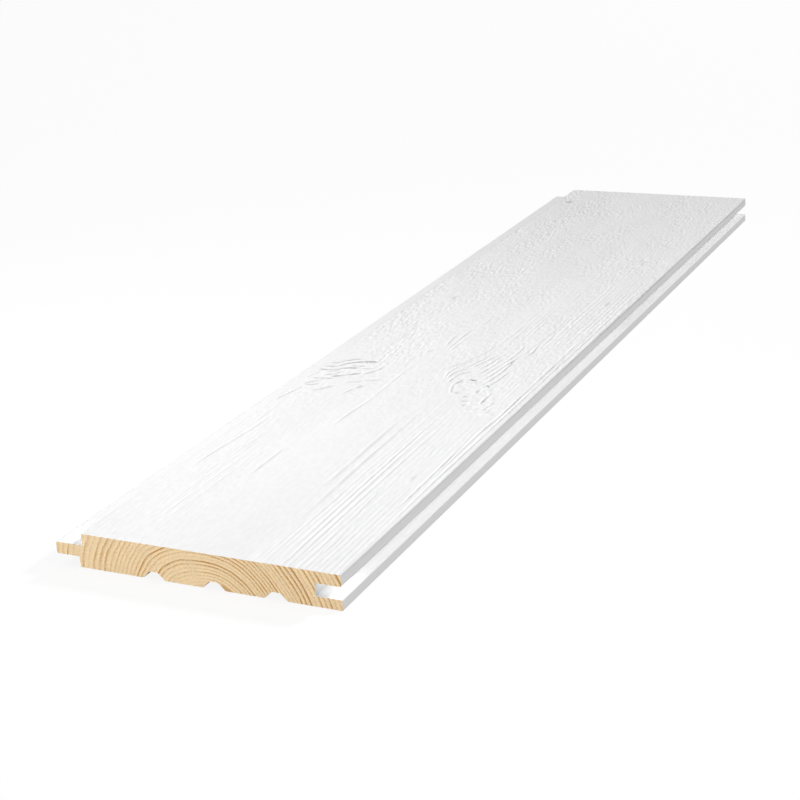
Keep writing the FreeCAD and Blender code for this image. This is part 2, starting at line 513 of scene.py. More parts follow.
def carve(along, across, strokes):
    """Height of all strokes together. Across its path a stroke is a bell-shaped furrow with a
    broader, lower swelling on both sides, and it fades out at its two ends."""
    height = np.zeros_like(along)
    broken = STROKE_MEAN + shaken(along, across, *STROKE_BREAKS)
    for deepest, width, *places in strokes:
        path = smooth_path(places)
        low, high = path.min(0) - STROKE_REACH * width, path.max(0) + STROKE_REACH * width
        near = (along > low[0]) & (along < high[0]) & (across > low[1]) & (across < high[1])
        apart = np.hypot(along[near][:, None] - path[:, 0], across[near][:, None] - path[:, 1])
        part = apart.argmin(1) / (len(path) - 1)
        apart = (apart.min(1) / width) ** 2
        ends = fade(part, 0.0, STROKE_ENDS) * fade(part, 1.0, 1 - STROKE_ENDS)
        profile = (1 + LIP_SHARE) * np.exp(-apart) - LIP_SHARE * np.exp(-apart / LIP_WIDTH ** 2)
        height[near] -= deepest * broken[near] * ends * profile
    return height


knots = carve(grid_along, grid_across, OVAL_KNOT_STROKES + SPIKE_KNOT_STROKES)
print("strokes of the knots in mm:", span(knots))

# %% [markdown]
# Inside the knots the wood is short-grained and tears out, so it is rough and pitted. The pits
# are round or long hollows; the same shape, turned upside down, is a small bump.

# %% Rough wood and pits
SPIKE_TIP = np.array((191.0, 75.0))
SPIKE_ROOT = np.array((154.0, 95.0))
SPIKE_ROUGH = (11.0, 4.0)  # distance from its middle line: where the roughness begins and is full
OVAL_MIDDLE = (189.0, 16.5)
OVAL_SHORT = 0.9  # its length along the board, as a share of its width
OVAL_ROUGH = (18.0, 8.0)
TORN = ((1.0, 3.4, 1.9, 33), (0.6, 1.7, 1.3, 34))
SPIKE_TORN = 0.12
OVAL_TORN = 0.09
PITS = (  # along, across, half length, half width, depth (a bump where negative)
    (191.0, 75.0, 0.7, 2.0, 0.15),
    (178.0, 82.5, 1.6, 0.8, 0.30),
    (161.0, 83.3, 1.2, 0.8, 0.28),
    (174.0, 74.5, 1.0, 1.2, 0.30),
    (187.0, 69.7, 2.2, 0.8, 0.28),
    (83.0, 96.0, 1.6, 1.0, 0.30),
    (221.5, 40.0, 1.0, 1.2, 0.28),
    (169.5, 29.0, 1.6, 1.0, 0.25),
    (386.0, 90.0, 2.2, 1.5, -0.22),
    (381.0, 90.5, 2.2, 1.2, 0.22),
    (490.5, 6.5, 2.5, 1.6, -0.20),
    (495.5, 7.0, 3.0, 1.8, 0.38),
    (305.0, 16.0, 3.0, 1.2, -0.20),
    (301.0, 17.0, 2.6, 1.2, 0.30),
    (309.0, 96.0, 3.0, 1.0, 0.25),
)


def spike_distance(along, across):
    """Distance from the straight line between the spike's root and its tip."""
    run = SPIKE_TIP - SPIKE_ROOT
    u, v = along - SPIKE_ROOT[0], across - SPIKE_ROOT[1]
    part = np.clip((u * run[0] + v * run[1]) / (run @ run), 0, 1)
    return np.hypot(u - part * run[0], v - part * run[1])


def knot_roughness(along, across):
    """Seeded unevenness inside the spike and the oval, fading out at their borders."""
    spike = fade(spike_distance(along, across), *SPIKE_ROUGH)
    from_middle = np.hypot((along - OVAL_MIDDLE[0]) / OVAL_SHORT, across - OVAL_MIDDLE[1])
    oval = fade(from_middle, *OVAL_ROUGH)
    return (SPIKE_TORN * spike + OVAL_TORN * oval) * shaken(along, across, *TORN)


def pits(along, across):
    """Bell-shaped hollows and bumps."""
    height = np.zeros_like(along)
    for place_along, place_across, half_length, half_width, deepest in PITS:
        u, v = (along - place_along) / half_length, (across - place_across) / half_width
        height = height - deepest * np.exp(-(u * u + v * v))
    return height


torn_wood = knot_roughness(grid_along, grid_across)
hollows_and_bumps = pits(grid_along, grid_across)
print("torn wood in mm:", span(torn_wood), "pits and bumps:", span(hollows_and_bumps))

# %% [markdown]
# The rest of the face has long creases where a fibre tore out, and deeper furrows along the
# groove-side edge. They are strokes too, only longer.

# %% Creases
CREASES = (  # depth, width, then places, as for the knots
    (0.32, 0.55, (64.0, 5.0), (84.0, 6.0), (104.0, 7.5), (127.0, 9.0)),
    (0.21, 0.48, (112.0, 6.5), (122.0, 5.5), (140.0, 4.5), (152.0, 3.5)),
    (0.32, 0.62, (122.0, 39.6), (132.0, 39.9), (146.0, 40.6), (160.0, 41.7)),
    (0.23, 0.48, (152.0, 41.0), (172.0, 41.0), (190.0, 40.5), (212.0, 40.5)),
    (0.21, 0.48, (196.0, 38.0), (206.0, 36.5), (218.0, 37.0)),
    (0.30, 0.58, (64.0, 32.5), (80.0, 32.5), (98.0, 32.5)),
    (0.42, 0.50, (20.0, 106.0), (70.0, 105.3), (150.0, 105.2), (230.0, 105.0), (330.0, 104.6)),
    (0.45, 0.50, (50.0, 102.8), (75.0, 102.3), (100.0, 101.7), (130.0, 101.0)),
    (
        0.50, 0.50, (80.0, 103.4), (110.0, 102.8), (135.0, 102.5), (153.0, 103.2), (200.0, 102.9),
        (290.0, 102.2),
    ),
    (0.35, 0.45, (170.0, 104.0), (205.0, 103.8), (240.0, 103.9), (280.0, 103.6)),
    (0.25, 0.48, (-30.0, 88.2), (30.0, 86.3), (60.0, 85.5), (110.0, 84.7), (150.0, 84.0)),
    (0.27, 0.48, (-30.0, 85.6), (20.0, 84.0), (60.0, 82.8), (110.0, 81.6), (152.0, 80.8)),
    (0.27, 0.48, (10.0, 82.0), (45.0, 80.8), (80.0, 80.0), (120.0, 79.2), (150.0, 78.8)),
    (0.18, 0.48, (-10.0, 77.0), (40.0, 76.6), (70.0, 76.0), (110.0, 75.0)),
    (0.18, 0.45, (8.0, 94.4), (18.0, 94.2), (28.0, 94.0)),
    (0.18, 0.45, (10.0, 91.0), (20.0, 90.8), (32.0, 90.6)),
    (0.18, 0.45, (44.0, 90.0), (60.0, 89.5), (75.0, 89.0)),
    (0.20, 1.00, (20.0, 72.2), (60.0, 71.4), (90.0, 70.2), (125.0, 69.5), (165.0, 69.0)),
    (0.18, 1.00, (55.0, 66.4), (85.0, 65.8), (120.0, 64.8), (150.0, 64.4)),
    (0.16, 0.45, (14.0, 20.0), (50.0, 20.0), (100.0, 20.5)),
    (0.16, 0.45, (24.0, 16.0), (60.0, 16.5), (112.0, 18.0)),
    (0.16, 0.45, (56.0, 14.0), (80.0, 15.0), (110.0, 16.0)),
    (0.16, 0.45, (20.0, 23.5), (60.0, 24.0), (90.0, 24.5)),
    (0.15, 0.48, (300.0, 78.0), (330.0, 77.5), (376.0, 77.0)),
)
creases = carve(grid_along, grid_across, CREASES)
print("creases:", len(CREASES), "in mm:", span(creases))

# %% [markdown]
# The whole relief is the sum of all these, on a face that is gently wavy from the planing. The
# plain furrows stop where the knots begin. How deep a place lies in its strokes is also kept by
# itself, because the paint carries a painted shade there.

# %% The whole relief
FACE_REST = 0.22  # the plain face lies this far below the highest ridges
FACE_WAVES = (0.04, 45.0, 16.0, 51)
SPIKE_ROOM = (13.0, 8.0)  # distance from the knot: where plain furrows begin to fade, and are gone
OVAL_ROOM = (26.0, 16.0)
PAST_TIP_START = (180.0, 192.0)  # along: the lines past the spike's tip take their place too
PAST_TIP_END = (262.0, 236.0)
PAST_TIP_MIDDLE = 74.0  # across
PAST_TIP_HALF = (22.0, 15.0)
# Painted shade in the strokes: the deeper a place lies in them, the darker its paint, standing in for the
# shade in the furrows
STROKE_SHADE_DEPTH = 0.5  # a stroke this deep is as grey as the paint gets
STROKE_SHADE_CURVE = 1.4  # above 1, so shallow strokes stay nearly white


def knot_wood(along, across):
    """1 in the two knots and on the lines past the spike's tip, and 0 where the grain is plain."""
    in_spike = fade(spike_distance(along, across), *SPIKE_ROOM)
    in_oval = fade(np.hypot(along - OVAL_MIDDLE[0], across - OVAL_MIDDLE[1]), *OVAL_ROOM)
    past_tip = fade(along, *PAST_TIP_START) * fade(along, *PAST_TIP_END)
    past_tip = past_tip * fade(np.abs(across - PAST_TIP_MIDDLE), *PAST_TIP_HALF)
    return np.clip(in_spike + in_oval + past_tip, 0, 1)


waves = shaken(grid_along, grid_across, FACE_WAVES)
plain = waves + grain * (1 - knot_wood(grid_along, grid_across))
strokes = hollows_and_bumps + knots + creases
relief = np.minimum(plain + torn_wood + strokes - FACE_REST, 0.0)  # never above the face's plane
# painted shade: how deep each point lies in the strokes, which darkens the paint there
stroke_shade = np.clip(-strokes / STROKE_SHADE_DEPTH, 0, 1) ** STROKE_SHADE_CURVE * on_face
print("relief in mm:", span(relief), "greyest hollow:", span(stroke_shade)[1])

# %% [markdown]
# Now the points themselves. The first parameter of the grid runs round the outline, the second
# along the board. Points on the face sink by the relief, and points on its two rounded edges
# sink less the lower they are, so the edges stay whole.

# %% Points of the board
grid_z = grid_z + relief * on_face
points = np.stack([grid_x, grid_y, grid_z], 2) * MM
print("points from", points.min((0, 1)).round(4), "to", points.max((0, 1)).round(4), "m")

# %% [markdown]
# The faces join each point to its neighbours, and each end is closed by one many-sided face. The
# back and the two sawn ends are left bare, and the rest is painted. The painted shade of the
# strokes goes with the mesh as an attribute, which the paint reads.

# %% Mesh of the board
PAINT, BARE = 0, 1
NEARLY = 0.01  # slack when two heights are compared
rounds, steps = grid_x.shape


def side_faces():
    """Quads between neighbouring outline points and stations, wound to face outwards."""
    i = np.arange(rounds)[:, None]
    j = np.arange(steps - 1)[None, :]
    following = (i + 1) % rounds
    quads = np.stack([
        i * steps + j,
        i * steps + j + 1,
        following * steps + j + 1,
        following * steps + j,
    ], 2)
    return quads.reshape(-1, 4)


def is_back(index):
    """True for outline steps on the back and in its channels, which are left unpainted."""
    following = (index + 1) % rounds
    middle_z = (outline_z[index] + outline_z[following]) / 2
    middle_x = (outline_x[index] + outline_x[following]) / 2
    between = (middle_x > BACK_SHOULDER + ARRIS) & (middle_x < groove_edge - ARRIS)
    return between & (middle_z < CHANNEL_DEPTH + NEARLY)


def board_mesh():
    """A mesh of the side quads and two end faces, with their finishes and the strokes' painted shade."""
    quads = side_faces()
    near_cap = np.arange(rounds) * steps
    far_cap = (np.arange(rounds) * steps + steps - 1)[::-1]
    corners = np.concatenate([quads.ravel(), near_cap, far_cap])
    sizes = np.concatenate([np.full(len(quads), 4), [rounds, rounds]])
    starts = np.concatenate([[0], np.cumsum(sizes)[:-1]])
    mesh = bpy.data.meshes.new("painted_board")
    mesh.vertices.add(rounds * steps)
    mesh.vertices.foreach_set("co", points.reshape(-1).astype(np.float32))
    mesh.loops.add(len(corners))
    mesh.loops.foreach_set("vertex_index", corners.astype(np.int32))
    mesh.polygons.add(len(sizes))
    mesh.polygons.foreach_set("loop_start", starts.astype(np.int32))
    mesh.update(calc_edges=True)
    finish = np.full(len(sizes), BARE, np.int32)
    finish[:-2] = np.repeat(np.where(is_back(np.arange(rounds)), BARE, PAINT), steps - 1)
    mesh.polygons.foreach_set("material_index", finish)
    smooth = np.ones(len(sizes), bool)
    smooth[-2:] = False
    mesh.polygons.foreach_set("use_smooth", smooth)
    # the strokes' painted shade, for the paint to read
    layer = mesh.attributes.new("stroke_shade", "FLOAT", "POINT")
    layer.data.foreach_set("value", stroke_shade.ravel().astype(np.float32))
    return mesh


board = bpy.data.objects.new("painted_board", board_mesh())
bpy.context.scene.collection.objects.link(board)
print("board:", len(board.data.vertices), "points,", len(board.data.polygons), "faces")

# %% [markdown]
# The edges of the section's sharp corners and of the two ends are marked sharp, so that smooth
# shading stops there. The unrolled layout gives every part of the surface its own place on a
# square, with the two sawn ends large, because they carry the finest pattern. Blender could
# unwrap the board by itself, but a grid already knows where each of its points belongs.

# %% Sharp edges and layout
SIDE_SHARE = 0.76  # of the layout's height, for the unrolled sides
LAYOUT_GAP = 0.005


def mark_sharp_edges(mesh):
    """Sharp along the board at the section's sharp corners, and round both ends; their number."""
    ends = np.empty(len(mesh.edges) * 2, np.int32)
    mesh.edges.foreach_get("vertices", ends)
    ends = ends.reshape(-1, 2)
    ring, place = ends // steps, ends % steps
    lengthwise = ring[:, 0] == ring[:, 1]
    at_end = (place[:, 0] == place[:, 1]) & ((place[:, 0] == 0) | (place[:, 0] == steps - 1))
    sharp = (lengthwise & sharp_corner[ring[:, 0]]) | at_end
    layer = mesh.attributes.new("sharp_edge", "BOOLEAN", "EDGE")
    layer.data.foreach_set("value", sharp)
    return int(sharp.sum())


def lay_out(mesh):
    """The sides unrolled: round the outline by length, along by station; the two ends above."""
    step_length = np.hypot(*(np.roll(outline, -1, 0) - outline).T)
    walked = np.concatenate([[0], np.cumsum(step_length)])
    walked = walked / walked[-1]
    onward = (station - near_end) / length * SIDE_SHARE
    i = np.arange(rounds)[:, None, None]
    j = np.arange(steps - 1)[None, :, None]
    ring = i + np.array([0, 0, 1, 1])[None, None, :] + 0 * j
    place = j + np.array([0, 1, 1, 0])[None, None, :] + 0 * i
    sides = np.stack([walked[ring], onward[place]], 3).reshape(-1, 2)
    width = groove_edge - tongue_tip
    scale = (1 - 2 * LAYOUT_GAP) / width
    across = LAYOUT_GAP + (outline_x - tongue_tip) * scale
    up = grid_z[:, 0] * scale
    near = np.stack([across, SIDE_SHARE + LAYOUT_GAP + up], 1)
    up = grid_z[:, -1] * scale
    far = np.stack([across, SIDE_SHARE + 2 * LAYOUT_GAP + face_z * scale + up], 1)[::-1]
    layer = mesh.uv_layers.new(name="OFBake")
    layer.uv.foreach_set("vector", np.concatenate([sides, near, far]).ravel().astype(np.float32))


print("sharp edges:", mark_sharp_edges(board.data))
lay_out(board.data)
print("layout:", board.data.uv_layers[0].name)

# %% [markdown]
# A material is a small machine of nodes. This helper adds one node at a time: its inputs are
# either other nodes' outputs or plain values, so a finish reads as a list of steps.

# %% A helper for finishes
class Finish:
    """One material, with short calls for its nodes."""

    def __init__(self, name):
        self.material = bpy.data.materials.new(name)
        self.material.use_nodes = True
        self.tree = self.material.node_tree
        self.tree.nodes.clear()

    def node(self, kind, settings=None, **inputs):
        """A node of that kind; each input is an output to link, or a value to set."""
        made = self.tree.nodes.new(kind)
        for name, value in (settings or {}).items():
            setattr(made, name, value)
        for name, value in inputs.items():
            self.feed(made.inputs[name.replace("_", " ")], value)
        return made

    def feed(self, socket, value):
        """Links an output to the socket, or sets the socket's own value."""
        if isinstance(value, bpy.types.NodeSocket):
            self.tree.links.new(value, socket)
        else:
            socket.default_value = value

    def math(self, operation, first, second=0.0, third=0.0, clamp=False):
        """One sum on up to three numbers."""
        made = self.tree.nodes.new("ShaderNodeMath")
        made.operation = operation
        made.use_clamp = clamp
        for socket, value in zip(made.inputs, (first, second, third)):
            self.feed(socket, value)
        return made.outputs[0]

    def spread(self, value, low, high, to_low=0.0, to_high=1.0):
        """The value moved from one range to another, and kept inside it."""
        made = self.node("ShaderNodeMapRange", Value=value)
        limits = {"From Min": low, "From Max": high, "To Min": to_low, "To Max": to_high}
        for name, number in limits.items():
            made.inputs[name].default_value = number
        return made.outputs[0]

    def noise(self, places, waves, detail, rough=0.5):
        """Smooth noise from 0 to 1, with that many waves for each unit across, along and up."""
        made = self.node("ShaderNodeTexNoise", Vector=self.stretched(places, *waves), Detail=detail)
        made.inputs["Scale"].default_value = 1.0
        made.inputs["Roughness"].default_value = rough
        return made.outputs["Fac"]

    def stretched(self, places, x, y, z):
        """The places scaled by a factor along each axis."""
        made = self.node("ShaderNodeMapping", Vector=places)
        made.inputs["Scale"].default_value = (x, y, z)
        return made.outputs[0]

    def millimetres(self):
        """The piece's own coordinates, in millimetres."""
        places = self.node("ShaderNodeTexCoord").outputs["Object"]
        return self.stretched(places, 1 / MM, 1 / MM, 1 / MM)

    def blend(self, share, first, second):
        """One colour mixed with another by that share."""
        made = self.tree.nodes.new("ShaderNodeMix")
        made.data_type = "RGBA"
        for name, value in (("Factor_Float", share), ("A_Color", first), ("B_Color", second)):
            socket = next(each for each in made.inputs if each.identifier == name)
            self.feed(socket, value)
        return next(each for each in made.outputs if each.identifier == "Result_Color")

    def steps(self, value, stops):
        """A level read from stops of (place, level) along a ramp of greys."""
        made = self.node("ShaderNodeValToRGB", Fac=value)
        elements = made.color_ramp.elements
        while len(elements) < len(stops):
            elements.new(0.5)
        for element, (place, level) in zip(elements, stops):
            element.position = place
            element.color = (level, level, level, 1.0)
        return made.outputs["Color"]

    def surface(self, height, strength, distance, **inputs):
        """A shader with those inputs and a bump from that height, as the material's surface."""
        bump = self.node("ShaderNodeBump", Height=height, Strength=strength, Distance=distance)
        shader = self.node("ShaderNodeBsdfPrincipled", Normal=bump.outputs[0], **inputs)
        self.node("ShaderNodeOutputMaterial", Surface=shader.outputs[0])


# %% [markdown]
# The paint is a matt white, sprayed on thin enough for the wood to show through as relief. Its
# colour is nearly even, with faint clouds and fibres. A painted shade darkens it at the bottom of
# the strokes and in the low places of the nap, and a painted shade makes the outermost sides
# greyer than the face. The finest texture is smaller than the mesh's steps, so it is a bump, and
# it is on the face: fibres where the wood is brushed most, and on the far half a nap of short hairs in
# patches under the stipple.

# %% White paint
PAINT_WHITE = (0.86, 0.86, 0.86, 1.0)
# the darker tone of the clouds and fibres, which the nap's painted shade also reaches
PAINT_SHADE = (0.815, 0.815, 0.815, 1.0)
# painted shade at the bottom of the strokes
PAINT_STROKE_SHADE = (0.38, 0.38, 0.38, 1.0)
# painted shade: the outermost sides are greyer than the face
PAINT_SIDE_SHADE = (0.64, 0.64, 0.64, 1.0)
PAINT_ROUGHNESS = (0.72, 0.84)
PAINT_GLOSS = 0.2
CLOUD_WAVES = (0.05, 0.012, 0.05)  # for each millimetre across, along and up
FIBRE_WAVES = (0.95, 0.10, 0.95)
NAP_WAVES = (0.75, 0.30, 0.75)
PATCH_WAVES = (0.06, 0.03, 0.06)
STIPPLE_WAVES = (1.9, 1.9, 1.9)
CLOUD_SHADE = 0.45  # share of each in the colour; the nap lightens it
FIBRE_SHADE = 0.30
# painted shade: the nap's low places are darker and its high places lighter
NAP_PAINTED_SHADE = -0.35
SHADE_RANGE = (0.06, 0.36)  # sums of these that are all white and all shade
FIBRE_HEIGHT = (0.09, 0.26)  # on the plain face, and where it is brushed most
NAP_HEIGHT = (0.08, 0.55)  # at the near end, and on the far half
NAP_REACH = (110.0, 240.0)  # from the near end: where the nap begins and is full
NAP_MIDDLE = (0.3, 0.7)  # most of the nap lies between these levels
PATCH_MIDDLE = (0.35, 0.65)
PATCH_HEIGHT = (0.4, 1.6)
FLAT_NAP_REACH = (25.0, 45.0)  # across: towards the groove side it lies flatter
FLAT_NAP_HEIGHT = (1.1, 0.74)
STIPPLE_HEIGHT = 0.10
BUMP_HEIGHT = 0.0005  # metres
BUMP_STRENGTH = 1.0
BUMP_DEPTH = (1.5, 0.8)  # under the face: where the bump begins and is full
BUMP_ELSEWHERE = 0.1


def paint_colour(paint, places, fibres, nap):
    """White toned by clouds and fibres, with painted shade in the nap's lows, strokes and outer sides."""
    clouds = paint.noise(places, CLOUD_WAVES, detail=3.0)
    tone_and_nap_shade = paint.math("MULTIPLY_ADD", fibres, FIBRE_SHADE, paint.math("MULTIPLY", clouds, CLOUD_SHADE))
    # the nap adds painted shade in its low places to the tone of the clouds and fibres
    tone_and_nap_shade = paint.math("MULTIPLY_ADD", nap, NAP_PAINTED_SHADE, tone_and_nap_shade)
    colour = paint.blend(paint.spread(tone_and_nap_shade, *SHADE_RANGE), PAINT_WHITE, PAINT_SHADE)
    # painted shade that darkens the paint in the strokes
    painted_stroke_shade = paint.node("ShaderNodeAttribute", {"attribute_name": "stroke_shade"}).outputs["Fac"]
    colour = paint.blend(painted_stroke_shade, colour, PAINT_STROKE_SHADE)
    across = paint.node("ShaderNodeSeparateXYZ", Vector=places).outputs[0]
    aside = paint.math("ABSOLUTE", across)
    # painted shade that makes the outermost sides, on both edges of the board, greyer
    painted_side_shade = paint.spread(aside, groove_edge - ARRIS, groove_edge - ARRIS / 4)
    return paint.blend(painted_side_shade, colour, PAINT_SIDE_SHADE)


def paint_texture(paint, places, fibres, nap):
    """Height of the bump: fibres and nap, each times its own share of the face, with stipple."""
    across, onward, up = paint.node("ShaderNodeSeparateXYZ", Vector=places).outputs
    from_edge = paint.math("SUBTRACT", across, FACE_SHOULDER)
    groove_side = paint.spread(from_edge, *BRUSHED_GROOVE_SIDE, *FIBRE_HEIGHT)
    tongue_side = paint.spread(from_edge, *BRUSHED_TONGUE_SIDE, *FIBRE_HEIGHT)
    brushed = paint.math("MAXIMUM", groove_side, tongue_side)
    patches = paint.noise(places, PATCH_WAVES, detail=1.0)
    rough = paint.spread(paint.math("SUBTRACT", onward, near_end), *NAP_REACH, *NAP_HEIGHT)
    rough = paint.math("MULTIPLY", rough, paint.spread(patches, *PATCH_MIDDLE, *PATCH_HEIGHT))
    flat = paint.spread(from_edge, *FLAT_NAP_REACH, *FLAT_NAP_HEIGHT)
    rough = paint.math("MULTIPLY", rough, flat)
    stipple = paint.noise(places, STIPPLE_WAVES, detail=1.0)
    height = paint.math("MULTIPLY_ADD", stipple, STIPPLE_HEIGHT, nap)
    height = paint.math("MULTIPLY_ADD", height, rough, paint.math("MULTIPLY", fibres, brushed))
    start, full = BUMP_DEPTH
    near_face = paint.spread(up, face_z - start, face_z - full, BUMP_ELSEWHERE, 1.0)
    return paint.math("MULTIPLY", height, near_face)


def white_paint():
    """Matt white paint with a nearly even colour and a fine bump, both from the same fibres."""
    paint = Finish("white_paint")
    places = paint.millimetres()
    fibres = paint.noise(places, FIBRE_WAVES, detail=2.0)
    nap = paint.noise(places, NAP_WAVES, detail=0.0)
    paint.surface(
        paint_texture(paint, places, fibres, nap),
        BUMP_STRENGTH,
        BUMP_HEIGHT,
        Base_Color=paint_colour(paint, places, fibres, nap),
        Roughness=paint.spread(nap, *NAP_MIDDLE, *PAINT_ROUGHNESS),
        Specular_IOR_Level=PAINT_GLOSS,
    )
    return paint.material


board.data.materials.append(white_paint())
print("nodes of the paint:", len(board.data.materials[PAINT].node_tree.nodes))

# %% [markdown]
# Bare pine is a solid thing: its rings run through the plank, so the colour is worked out from
# the place in the wood and not painted on a surface. The nodes repeat the ring formula above.
# Each year starts pale, darkens to its orange-brown late wood and ends sharply. Beside the heart
# runs a brown streak, which the middle channel cuts open.

# %% Bare pine
EARLY_WOOD = (0.825, 0.635, 0.390, 1.0)
LATE_WOOD = (0.430, 0.220, 0.055, 1.0)
PINE_ROUGHNESS = (0.72, 0.55)  # early wood, late wood
PINE_GLOSS = 0.3
WANDER_WAVES = (0.07, 0.012, 0.07)  # for each millimetre across, along and up
WANDER_MIDDLE = (0.25, 0.75)
WANDER = (-0.5, 0.5)  # millimetres
YEAR_SHIFT = 0.08  # of a year: the rings lie this much inside the furrows on the face
YEAR_PROFILE = ((0.00, 0.05), (0.22, 0.03), (0.55, 0.40), (0.72, 1.0), (0.90, 1.0), (1.00, 0.05))
YEAR_VARIETY = (0.45, 1.40)  # how pale and how dark chance makes a year
YEAR_HALF = 1.0  # millimetres on each side of a year that stands out
HEART_BLEND = (-4.0, 4.0)  # the two sides' years are mixed above the heart
RING_SPAN = 70.0  # distances from the heart that the years' darkness is given for
PINE_FIBRE_WAVES = (1.6, 0.03, 1.6)
PINE_FIBRE_MIDDLE = (0.3, 0.7)
PINE_FIBRE_DARK = (-0.32, 0.32)
MOTTLE_WAVES = (0.22, 0.02, 0.22)
MOTTLE_MIDDLE = (0.35, 0.65)
MOTTLE_DARK = (0.65, 1.35)
TINT_MIDDLE = (0.3, 0.7)
TINT = (0.94, 1.05)
STAIN_DISTANCE = 15.0  # of the brown streak from the heart
STAIN_HALF = 1.3
STAIN_CORE = 0.4  # share of its half width that is fully dark
STAIN_DARK = 0.75
STAIN_SIDE = (4.0, 6.5)  # it lies on the groove side of the heart
PINE_BUMP_STRENGTH = 0.6
PINE_BUMP_HEIGHT = 0.00008  # metres
LATE_HEIGHT = 0.5  # of the late wood, beside the fibres


def ring_distance(wood, places):
    """The distance from the heart as nodes, with the wood's slow wander added, and how far aside."""
    x, y, z = wood.node("ShaderNodeSeparateXYZ", Vector=places).outputs
    rise = wood.math("SUBTRACT", z, HEART_Z)
    aside = wood.math("SUBTRACT", x, HEART_X)
    aside = wood.math("MULTIPLY_ADD", rise, -HEART_LEAN, aside)
    most_ease = 1 - EASE_LIMIT * TONGUE_SIDE_EASE
    ease = wood.spread(aside, -EASE_LIMIT * EASE_REACH, 0.0, most_ease, 1.0)
    tongue_part = wood.math("MULTIPLY", wood.math("MINIMUM", aside, 0.0), TONGUE_SIDE_SHRINK)
    groove_part = wood.math("MAXIMUM", aside, 0.0)
    across = wood.math("ADD", tongue_part, groove_part)
    up = wood.math("MULTIPLY", rise, ease)
    square = wood.math("MULTIPLY_ADD", across, across, wood.math("MULTIPLY", up, up))
    distance = wood.math("SQRT", square)
    taper = wood.math("MULTIPLY", wood.math("SUBTRACT", y, near_end), TAPER)
    wander = wood.spread(wood.noise(places, WANDER_WAVES, detail=2.0), *WANDER_MIDDLE, *WANDER)
    return wood.math("ADD", wood.math("ADD", distance, taper), wander), aside


def ring_years(wood, distance):
    """The year count as nodes: narrow years up to the young reach, and wider ones beyond it."""
    young = wood.math("SUBTRACT", wood.math("MINIMUM", distance, YOUNG_REACH), FIRST_YEAR)
    young = wood.math("MULTIPLY_ADD", young, 1 / YOUNG_YEAR_WIDTH, YEAR_SHIFT)
    old = wood.math("MAXIMUM", wood.math("SUBTRACT", distance, YOUNG_REACH), 0.0)
    return wood.math("MULTIPLY_ADD", old, 1 / OLD_YEAR_WIDTH, young)


def year_darkness(wood, distance, plain, years):
    """A ramp over the distance from the heart: plain years, with the dark and pale ones set in."""
    stops = {0.0: plain}
    for place, _ in years:
        stops.update({place - YEAR_HALF: plain, place + YEAR_HALF: plain})
    stops.update(years)
    ramp = [(place / RING_SPAN, dark) for place, dark in sorted(stops.items())]
    return wood.steps(wood.math("DIVIDE", distance, RING_SPAN), ramp)


def late_wood(wood, distance, aside):
    """Share of late wood: each year's profile, times its side's darkness and a chance of its own."""
    year = ring_years(wood, distance)
    profile = wood.steps(wood.math("FRACT", year), YEAR_PROFILE)
    tongue_years = year_darkness(wood, distance, PLAIN_YEARS[0], TONGUE_SIDE_YEARS)
    groove_years = year_darkness(wood, distance, PLAIN_YEARS[1], GROOVE_SIDE_YEARS)
    years = wood.blend(wood.spread(aside, *HEART_BLEND), tongue_years, groove_years)
    whole_year = wood.math("FLOOR", year)
    chance = wood.node("ShaderNodeTexWhiteNoise", {"noise_dimensions": "1D"}, W=whole_year)
    variety = wood.spread(chance.outputs["Value"], 0.0, 1.0, *YEAR_VARIETY)
    return wood.math("MULTIPLY", profile, wood.math("MULTIPLY", years, variety))


def bare_pine():
    """Planed and sawn pine: rings in a solid, mottled, with fibres along the board, the brown
    streak beside the heart and a faint bump."""
    wood = Finish("bare_pine")
    places = wood.millimetres()
    distance, aside = ring_distance(wood, places)
    fibres = wood.noise(places, PINE_FIBRE_WAVES, detail=3.0, rough=0.6)
    mottle = wood.noise(places, MOTTLE_WAVES, detail=3.0)
    late = late_wood(wood, distance, aside)
    late = wood.math("MULTIPLY", late, wood.spread(mottle, *MOTTLE_MIDDLE, *MOTTLE_DARK))
    late = wood.math("ADD", late, wood.spread(fibres, *PINE_FIBRE_MIDDLE, *PINE_FIBRE_DARK), clamp=True)
    off_stain = wood.math("ABSOLUTE", wood.math("SUBTRACT", distance, STAIN_DISTANCE))
    stain = wood.spread(off_stain, STAIN_CORE * STAIN_HALF, STAIN_HALF, STAIN_DARK, 0.0)
    stain = wood.math("MULTIPLY", stain, wood.spread(aside, *STAIN_SIDE))
    late = wood.math("MAXIMUM", late, stain)
    colour = wood.blend(late, EARLY_WOOD, LATE_WOOD)
    tint = wood.spread(mottle, *TINT_MIDDLE, *TINT)
    tinted = wood.node("ShaderNodeVectorMath", {"operation": "SCALE"}, Vector=colour, Scale=tint)
    wood.surface(
        wood.math("MULTIPLY_ADD", late, LATE_HEIGHT, fibres),
        PINE_BUMP_STRENGTH,
        PINE_BUMP_HEIGHT,
        Base_Color=tinted.outputs[0],
        Roughness=wood.spread(late, 0.0, 1.0, *PINE_ROUGHNESS),
        Specular_IOR_Level=PINE_GLOSS,
    )
    return wood.material


board.data.materials.append(bare_pine())
print("finishes:", [material.name for material in board.data.materials])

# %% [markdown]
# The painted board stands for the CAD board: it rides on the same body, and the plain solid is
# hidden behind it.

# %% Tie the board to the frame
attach(board, "root")
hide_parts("board")
print("the painted board replaces the plain solid")

# %% [markdown]
# The studio is a white floor that runs on as a white background. To the camera the floor is
# almost wholly its own white, and the rest is lit, so the board keeps a faint shadow under it.
# The light that bounces off it meets a duller floor, so that little of it comes back up and the
# board's sides stay a shade darker than its face.

